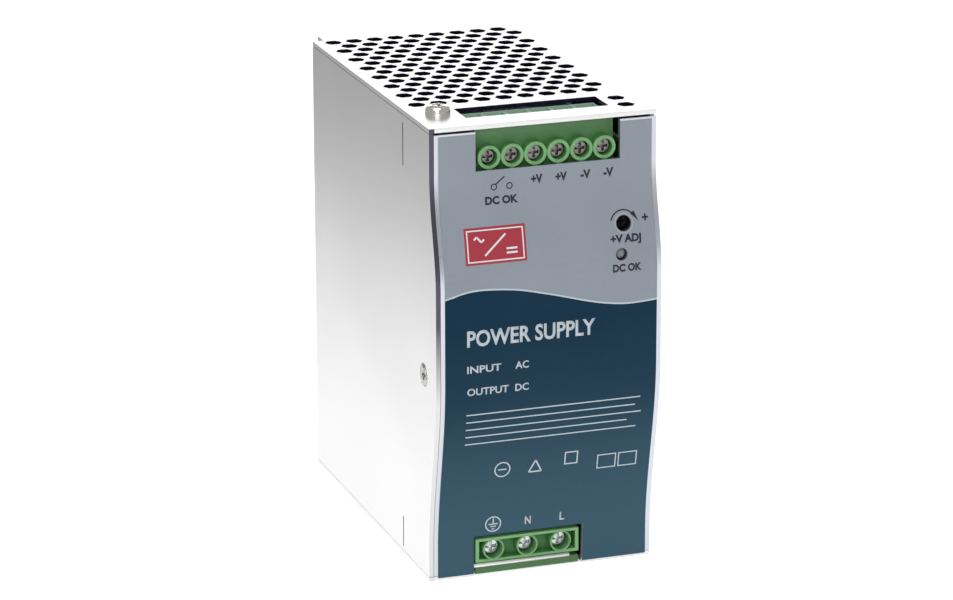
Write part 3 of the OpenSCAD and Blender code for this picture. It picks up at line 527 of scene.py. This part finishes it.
# the material of each CAD node, apart from the numbered screws and clamps
FINISH = {
    "chassis": "sheet", "side_cover": "sheet", "rail_bracket": "sheet", "front_panel": "panel",
    "front_label": "grey_print", "top_screw": "hardware", "side_screw": "wall_screw",
    "hidden_screws": "hardware", "board_screws": "hardware", "rail_latch": "latch",
    "latch_spring": "spring", "latch_rivets": "latch", "input_retainer": "strip",
    "insulation_sheet": "film_sheet", "main_board": "board", "output_board": "board",
    "input_board": "board", "control_board": "board", "board_standoffs": "brass",
    "output_terminal_block": "green", "input_terminal_block": "green", "output_pins": "tin",
    "input_pins": "tin", "trimmer_body": "rotor", "trimmer_rotor": "rotor", "status_led": "lens",
    "dc_ok_relay": "black", "line_fuse": "glass", "emi_choke": "copper", "x_capacitor": "yellow",
    "bridge_rectifier": "black", "boost_inductor": "ferrite", "bulk_capacitor": "sleeve",
    "primary_heatsink": "heatsink", "primary_transistors": "black", "transformer_core": "ferrite",
    "transformer_winding": "tape", "secondary_heatsink": "heatsink", "output_rectifiers": "black",
    "output_choke": "copper", "output_capacitors": "sleeve", "earth_lead": "earth",
}


def finish_for(node):
    """The key in MATERIALS of a CAD node's material."""
    if node.startswith("output_screw"):
        return "small_screw"
    if node.startswith("input_screw"):
        return "terminal_screw"
    if node.startswith(("output_clamp", "input_clamp")):
        return "tin"
    return FINISH[node]


# edge radius of each kind of piece, in millimetres
BEVELS = {"sheet": 0.18, "panel": 0.12, "green": 0.16, "hardware": 0.1, "terminal_screw": 0.07,
          "small_screw": 0.07, "latch": 0.15, "black": 0.2, "yellow": 0.6, "heatsink": 0.25,
          "ferrite": 0.4, "board": 0.08, "tin": 0.06}
WELD_GAP = 0.002 * MM
PLAIN_ANGLE = math.radians(0.5)
SHARP_ANGLE = math.radians(35)


def dress(node):
    """Material, smooth shading and softened edges on a CAD node, whose points stay in place."""
    obj = NODES[node]
    kind = finish_for(node)
    obj.data.materials.clear()
    obj.data.materials.append(MATERIALS[kind])
    if node == "front_label":
        return
    weld = obj.modifiers.new("joined", "WELD")
    weld.merge_threshold = WELD_GAP
    if kind in BEVELS:
        plain = obj.modifiers.new("plain_faces", "DECIMATE")
        plain.decimate_type = "DISSOLVE"
        plain.angle_limit = PLAIN_ANGLE
        soft = obj.modifiers.new("edges", "BEVEL")
        soft.width = BEVELS[kind] * MM
        soft.segments = 2
        soft.limit_method = "ANGLE"
        soft.angle_limit = SHARP_ANGLE
        soft.harden_normals = False
        soft.use_clamp_overlap = True
    for face in obj.data.polygons:
        face.use_smooth = True
    flat = obj.modifiers.new("flats", "WEIGHTED_NORMAL")
    flat.keep_sharp = False
    flat.weight = 90


for node_name in NODES:
    dress(node_name)


# ---------------------------------------------------------------- printed front film

# the film lies this far behind the CAD node's face, so that the ink has room on it
SINK = 0.06 * MM
FRONT_SKIN = 0.05 * MM
# where the grey field meets the blue one, from left to right (x, z), in millimetres
FIELD_LINE = [(-40, 14.0), (-29.4, 15.1), (-26.1, 16.1), (-22.8, 16.9), (-19.5, 17.1), (-16.2, 17.0),
              (-12.8, 16.7), (-9.5, 16.3), (-6.2, 15.7), (-2.8, 14.8), (0.5, 14.0), (3.9, 13.1),
              (7.3, 12.1), (10.6, 11.2), (14.0, 10.4), (17.4, 9.8), (20.8, 9.4), (24.2, 9.4),
              (27.6, 9.6), (40, 10.6)]
LINE_HALF = 0.22 * MM
# places of the film's three materials
GREY_FIELD, PALE_LINE, BLUE_FIELD = 0, 1, 2
SMOOTHING = np.array([1, 2, 3, 2, 1]) / 9.0


def smooth_line(points, step=1.1):
    """The field line resampled finely, so that it prints as one curve."""
    xs = np.array([p[0] for p in points])
    zs = np.array([p[1] for p in points])
    grid = np.arange(xs[0], xs[-1] + step, step)
    flat = np.interp(grid, xs, zs)
    soft = np.convolve(np.pad(flat, len(SMOOTHING) // 2, mode="edge"), SMOOTHING, mode="valid")
    return grid * MM, soft * MM


LINE_X, LINE_Z = smooth_line(FIELD_LINE)


def cut(bm, geometry, point, normal):
    """Divides the faces along a plane."""
    bmesh.ops.bisect_plane(bm, geom=geometry, plane_co=point, plane_no=normal, dist=1e-7)


def with_parts(faces):
    """The faces with their vertices and edges, as bmesh operators want them."""
    verts = list(dict.fromkeys(v for f in faces for v in f.verts))
    edges = list(dict.fromkeys(e for f in faces for e in f.edges))
    return verts + edges + list(faces)


def film_mesh():
    """The CAD film, set back to make room for ink and divided into grey field, pale line and blue field."""
    bm = bmesh.new()
    bm.from_mesh(NODES["front_label"].data)
    bmesh.ops.remove_doubles(bm, verts=bm.verts, dist=1e-6)
    for vertex in bm.verts:
        if abs(vertex.co.y - front_y(vertex.co.z)) < FRONT_SKIN:
            vertex.co.y += SINK
    for x in LINE_X:
        if film_low.x < x < film_high.x:
            cut(bm, bm.verts[:] + bm.edges[:] + bm.faces[:], (x, 0, 0), (1, 0, 0))
    for offset in (LINE_HALF, -LINE_HALF):
        for i in range(len(LINE_X) - 1):
            x0, x1, z0, z1 = LINE_X[i], LINE_X[i + 1], LINE_Z[i], LINE_Z[i + 1]
            column = [f for f in bm.faces if x0 < f.calc_center_median().x < x1]
            if column:
                cut(bm, with_parts(column), (x0, 0, z0 + offset), (z0 - z1, 0, x1 - x0))
    for face in bm.faces:
        middle = face.calc_center_median()
        above = middle.z - float(np.interp(middle.x, LINE_X, LINE_Z))
        if above > LINE_HALF:
            face.material_index = GREY_FIELD
        elif above < -LINE_HALF:
            face.material_index = BLUE_FIELD
        else:
            face.material_index = PALE_LINE
        face.smooth = False
    mesh = bpy.data.meshes.new("film")
    bm.to_mesh(mesh)
    bm.free()
    return mesh


def piece(name, mesh, body, slot, *mats):
    """Adds a piece to the scene, riding its body."""
    obj = bpy.data.objects.new(name, mesh)
    bpy.context.scene.collection.objects.link(obj)
    for mat in mats:
        obj.data.materials.append(mat)
    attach(obj, body)
    return obj


film = piece("film", film_mesh(), "case", "label_film",
             MATERIALS["grey_print"], MATERIALS["pale_ink"], MATERIALS["blue_print"])
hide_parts("front_label")

# the latch's spring, as a piece of its own with its own mesh
coil_mesh = NODES["latch_spring"].data.copy()
coil_mesh.materials.clear()
coil = piece("spring_coil", coil_mesh, "case", "spring_steel", MATERIALS["spring"])
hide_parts("latch_spring")
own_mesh(coil)


# ---------------------------------------------------------------- print on the film

# height of a capital in the built-in font
CAPITAL = 0.69
# a bar that bends with the film is divided into stretches of at least this many millimetres
BAR_STEP = 3
INK_COAT = 0.024 * MM
# how far the badge's white print lies in front of its red field's base
BADGE_LIFT = 0.028 * MM


class Print:
    """Flat shapes in millimetres on the front (x across, z up), laid on the film as a coat of ink."""

    def __init__(self):
        self.bm = bmesh.new()

    def shape(self, points):
        """A filled outline."""
        corners = [self.bm.verts.new((x * MM, 0, z * MM)) for x, z in points]
        self.bm.faces.new(corners)

    def bar(self, x0, z0, x1, z1, width):
        """A straight stroke."""
        length = math.hypot(x1 - x0, z1 - z0)
        across = (-(z1 - z0) / length * width / 2, (x1 - x0) / length * width / 2)
        steps = max(1, int(length / BAR_STEP))
        for i in range(steps):
            a, b = i / steps, (i + 1) / steps
            xa, za = x0 + (x1 - x0) * a, z0 + (z1 - z0) * a
            xb, zb = x0 + (x1 - x0) * b, z0 + (z1 - z0) * b
            self.shape([(xa - across[0], za - across[1]), (xb - across[0], zb - across[1]),
                        (xb + across[0], zb + across[1]), (xa + across[0], za + across[1])])

    def line(self, points, width):
        """Strokes from point to point."""
        for (x0, z0), (x1, z1) in zip(points, points[1:]):
            self.bar(x0, z0, x1, z1, width)

    def arc(self, cx, cz, radius, width, start=0, end=360, steps=40):
        """A ring, or the part of it between two angles."""
        inner, outer = radius - width / 2, radius + width / 2
        for i in range(steps):
            a = math.radians(start + (end - start) * i / steps)
            b = math.radians(start + (end - start) * (i + 1) / steps)
            self.shape([(cx + math.cos(a) * outer, cz + math.sin(a) * outer),
                        (cx + math.cos(b) * outer, cz + math.sin(b) * outer),
                        (cx + math.cos(b) * inner, cz + math.sin(b) * inner),
                        (cx + math.cos(a) * inner, cz + math.sin(a) * inner)])

    def frame(self, x0, z0, x1, z1, width):
        """An open box, with its strokes inside the given corners."""
        self.bar(x0, z0 + width / 2, x1, z0 + width / 2, width)
        self.bar(x0, z1 - width / 2, x1, z1 - width / 2, width)
        self.bar(x0 + width / 2, z0 + width, x0 + width / 2, z1 - width, width)
        self.bar(x1 - width / 2, z0 + width, x1 - width / 2, z1 - width, width)

    def words(self, text, x0, x1, z, height, weight=0.0):
        """Generic lettering from x0 to x1 with its base on z."""
        curve = bpy.data.curves.new("lettering", "FONT")
        curve.body = text
        curve.offset = weight
        curve.resolution_u = 3
        holder = bpy.data.objects.new("lettering", curve)
        bpy.context.scene.collection.objects.link(holder)
        bpy.context.view_layer.update()
        evaluated = holder.evaluated_get(bpy.context.evaluated_depsgraph_get())
        mesh = bpy.data.meshes.new_from_object(evaluated)
        xs = [v.co.x for v in mesh.vertices]
        first = min(xs)
        across = (x1 - x0) / (max(xs) - first)
        for vertex in mesh.vertices:
            x = x0 + (vertex.co.x - first) * across
            vertex.co = (x * MM, 0, (z + vertex.co.y / CAPITAL * height) * MM)
        self.bm.from_mesh(mesh)
        bpy.data.objects.remove(holder)
        bpy.data.curves.remove(curve)
        bpy.data.meshes.remove(mesh)

    def lay(self, name, mat, lift=0.0):
        """Follows the wave and gives the ink its height."""
        bm = self.bm
        bmesh.ops.remove_doubles(bm, verts=bm.verts, dist=2e-6)
        low = min(v.co.z for v in bm.verts)
        high = max(v.co.z for v in bm.verts)
        for z in WAVE_Z:
            if low < z < high:
                cut(bm, bm.verts[:] + bm.edges[:] + bm.faces[:], (0, 0, float(z)), (0, 0, 1))
        for vertex in bm.verts:
            vertex.co.y = front_y(vertex.co.z) + SINK - lift
        grown = bmesh.ops.extrude_face_region(bm, geom=bm.faces[:])
        for vertex in [g for g in grown["geom"] if isinstance(g, bmesh.types.BMVert)]:
            vertex.co.y -= INK_COAT
        bmesh.ops.recalc_face_normals(bm, faces=bm.faces)
        mesh = bpy.data.meshes.new(name)
        bm.to_mesh(mesh)
        bm.free()
        piece(name, mesh, "case", "label_film", mat)


dark = Print()
pale = Print()
red = Print()
rings = Print()
badge = Print()

# letter height of the small print in millimetres, and boldness in the font's own units
SMALL = 1.9
BOLD = 0.044
THIN = 0.022

# terminal marks under the output block
MARKS_Z = 43.4
for mark, start, end in (("+V", -3.6, -0.4), ("+V", 3.2, 6.4), ("-V", 10.2, 13.0), ("-V", 16.6, 19.4)):
    dark.words(mark, start, end, MARKS_Z, 2.1, 0.045)

# relay contact: two circles and an open lever, with its words
for contact_x in (-13.9, -9.6):
    dark.arc(contact_x, 43.3, 0.75, 0.3)
dark.line([(-13.4, 43.9), (-10.9, 45.9)], 0.35)
dark.words("DC OK", -16.5, -7.4, 38.9, SMALL, 0.046)

# adjuster: arrow sweeping round the hole, a plus sign and its words, then the lamp's words
dark.arc(21.3, 30.8, 3.5, 0.34, 165, 42)
dark.shape([(23.4, 33.2), (24.4, 33.8), (25.6, 31.1)])
dark.bar(26.6, 31.9, 28.4, 31.9, 0.45)
dark.bar(27.5, 31.0, 27.5, 32.8, 0.45)
dark.words("+V ADJ", 17.4, 26.0, 26.0, SMALL, BOLD)
dark.words("DC OK", 17.7, 25.8, 18.3, SMALL, BOLD)
rings.arc(21.4, 30.8, 2.5, 0.3)

# badge: a red field with a white frame and a converter symbol, two kinds of current and a slash
BADGE_X = (-23.0, -6.1)
BADGE_Z = (23.8, 33.3)
BADGE_INSET = 0.6
STROKE = 0.5
red.shape([(BADGE_X[0], BADGE_Z[0]), (BADGE_X[1], BADGE_Z[0]), (BADGE_X[1], BADGE_Z[1]),
           (BADGE_X[0], BADGE_Z[1])])
badge.frame(BADGE_X[0] + BADGE_INSET, BADGE_Z[0] + BADGE_INSET,
            BADGE_X[1] - BADGE_INSET, BADGE_Z[1] - BADGE_INSET, 0.35)
badge.line([(-17.6, 26.0), (-11.6, 31.2)], STROKE)
badge.line([(-20.4, 30.2), (-19.6, 30.9), (-18.4, 29.5), (-17.6, 30.2)], STROKE)
for bar_z in (27.4, 26.3):
    badge.bar(-11.6, bar_z, -8.6, bar_z, STROKE)

# title and rating lines
PRINT_LEFT = -23
pale.words("POWER SUPPLY", PRINT_LEFT, 12.8, 1.9, 4.2, 0.026)
for side, side_end, current, z in (("INPUT", -13.5, "AC", -5.4), ("OUTPUT", -11.4, "DC", -11.6)):
    pale.words(side, PRINT_LEFT, side_end, z, SMALL, THIN)
    pale.words(current, -9.6, -5.8, z, SMALL, THIN)

# ruled lines for the usage notes
RULED_TOP = -17.2
RULED_STEP = 2.15
for row, end in enumerate((26.0, 24.6, 26.4, 22.5, 25.2)):
    pale.bar(PRINT_LEFT, RULED_TOP - row * RULED_STEP, end, RULED_TOP - row * RULED_STEP, 0.32)

# pictograms below the notes: barred ring, triangle, square and two boxes
pale.arc(-11.9, -34.5, 2.1, 0.35)
pale.bar(-13.1, -34.5, -10.7, -34.5, 0.35)
pale.line([(-4.4, -36.2), (-2.6, -32.8), (-0.8, -36.2), (-4.4, -36.2)], 0.4)
pale.frame(5.6, -35.2, 9.4, -31.4, 0.35)
for box_x in (15.0, 21.0):
    pale.frame(box_x, -37.6, box_x + 5.4, -33.4, 0.3)

# protective earth, neutral and line
EARTH_X = -13.6
EARTH_Z = -50.6
pale.arc(EARTH_X, EARTH_Z, 2.1, 0.35)
pale.bar(EARTH_X, EARTH_Z + 1.7, EARTH_X, EARTH_Z, 0.35)
for drop, half, width in ((0, 1.3, 0.35), (0.7, 0.8, 0.3), (1.4, 0.4, 0.3)):
    pale.bar(EARTH_X - half, EARTH_Z - drop, EARTH_X + half, EARTH_Z - drop, width)
pale.words("N", -4.6, -2.9, -51.7, 2.2, 0.024)
pale.words("L", 5.3, 6.7, -51.7, 2.2, 0.024)

rings.lay("ink_rings", MATERIALS["grey_ink"])
red.lay("ink_red", MATERIALS["red_ink"])
dark.lay("ink_dark", MATERIALS["dark_ink"])
pale.lay("ink_pale", MATERIALS["pale_ink"])
badge.lay("ink_badge", MATERIALS["white_ink"], BADGE_LIFT)


# ---------------------------------------------------------------- floor, light and camera

FLOOR_HALF = 3.0
FLOOR_DROP = 0.05 * MM
FLOOR_TONE = 0.92
FLOOR_GLOW = 0.58
# the mirrored floor falls off level to the left, in metres, and is seen only as a reflection
FALL_OFF_WAY = (-0.975, 0.222, 0.0)
FALL_OFF_ALONG = (0.222, 0.975)
FALL_OFF = (0.105, 0.27)
FALL_OFF_TONE = 0.24
MIRRORED_AWAY = (0.10, 1.5)
MIRRORED_ALONG = (-1.0, 2.0)
MIRRORED_LIFT = 0.5 * MM
floor_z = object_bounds()[0].z - FLOOR_DROP


def floor_material(name, far_tone):
    """White sweep that goes over to another tone on the far left, where the left side mirrors it."""
    mat, nodes, links, shader = material(name, roughness=0.7, specular=0.1)
    source = nodes.new("ShaderNodeTexCoord")
    reach = nodes.new("ShaderNodeVectorMath")
    reach.operation = "DOT_PRODUCT"
    reach.inputs[1].default_value = FALL_OFF_WAY
    links.new(source.outputs["Object"], reach.inputs[0])
    span = nodes.new("ShaderNodeMapRange")
    span.interpolation_type = "SMOOTHSTEP"
    span.inputs["From Min"].default_value = FALL_OFF[0]
    span.inputs["From Max"].default_value = FALL_OFF[1]
    links.new(reach.outputs["Value"], span.inputs["Value"])
    tone = ramp(nodes, links, span.outputs["Result"], [(0.0, FLOOR_TONE), (1.0, far_tone)])
    links.new(tone, shader.inputs["Base Color"])
    links.new(tone, shader.inputs["Emission Color"])
    shader.inputs["Emission Strength"].default_value = FLOOR_GLOW
    return mat


def sheet_of(name, corners, mat):
    """A four-cornered sheet of scenery."""
    mesh = bpy.data.meshes.new(name)
    mesh.from_pydata(corners, [], [(0, 1, 2, 3)])
    mesh.materials.append(mat)
    obj = bpy.data.objects.new(name, mesh)
    bpy.context.scene.collection.objects.link(obj)
    return obj


def mirrored_corner(away, along):
    """A corner of the mirrored floor, so far to the left and so far back."""
    return (FALL_OFF_WAY[0] * away + FALL_OFF_ALONG[0] * along,
            FALL_OFF_WAY[1] * away + FALL_OFF_ALONG[1] * along, floor_z + MIRRORED_LIFT)


sheet_of("floor", [(x, y, floor_z) for x, y in ((-FLOOR_HALF, -FLOOR_HALF), (FLOOR_HALF, -FLOOR_HALF),
                                                (FLOOR_HALF, FLOOR_HALF), (-FLOOR_HALF, FLOOR_HALF))],
         floor_material("floor", FLOOR_TONE))
near, far = MIRRORED_AWAY
front, rear = MIRRORED_ALONG
mirrored = sheet_of("floor_mirrored", [mirrored_corner(near, front), mirrored_corner(far, front),
                                       mirrored_corner(far, rear), mirrored_corner(near, rear)],
                    floor_material("floor_mirrored", FALL_OFF_TONE))
mirrored.visible_camera = False
mirrored.visible_diffuse = False
mirrored.visible_shadow = False


def soft_light(name, place, target, size, power, size_y):
    """A rectangular soft box turned to its target."""
    data = bpy.data.lights.new(name, "AREA")
    data.shape = "RECTANGLE"
    data.size = size
    data.size_y = size_y
    data.energy = power
    lamp = bpy.data.objects.new(name, data)
    lamp.location = place
    lamp.rotation_euler = (Vector(target) - Vector(place)).to_track_quat("-Z", "Y").to_euler()
    bpy.context.scene.collection.objects.link(lamp)


soft_light("overhead", (-0.2, -0.3, 1.1), (0, -0.03, 0), 0.8, 4.0, 0.8)
soft_light("key", (-0.55, -1.3, 0.75), (0, -0.05, 0), 0.5, 5.5, 0.5)
soft_light("back", (0.42, 1.25, 0.50), (0, -0.05, 0.06), 1.0, 2.7, 0.45)

world = bpy.data.worlds.new("studio")
bpy.context.scene.world = world
world.use_nodes = True
background = world.node_tree.nodes["Background"]
background.inputs["Color"].default_value = (1, 1, 1, 1)
background.inputs["Strength"].default_value = 0.42

bpy.context.scene.view_settings.view_transform = "Standard"
bpy.context.scene.view_settings.look = "None"

# the photograph's camera, fitted to the case's corners and vent holes
CAMERA_PLACE = Vector((-0.3543, -1.0699, 0.3290))
CAMERA_AHEAD = Vector((0.31328, 0.90269, -0.29498))
CAMERA_UP = Vector((0.09829, 0.27813, 0.95550))
SENSOR = 36
LENS = 154.48
camera_data = bpy.data.cameras.new("camera")
camera_data.sensor_width = SENSOR
camera_data.lens = LENS
camera_data.clip_start = 0.01
camera_data.clip_end = 20
camera = bpy.data.objects.new("camera", camera_data)
right = CAMERA_AHEAD.cross(CAMERA_UP).normalized()
up = right.cross(CAMERA_AHEAD).normalized()
turn = Matrix([right, up, -CAMERA_AHEAD.normalized()]).transposed()
camera.matrix_world = Matrix.Translation(CAMERA_PLACE) @ turn.to_4x4()
bpy.context.scene.collection.objects.link(camera)
bpy.context.scene.camera = camera
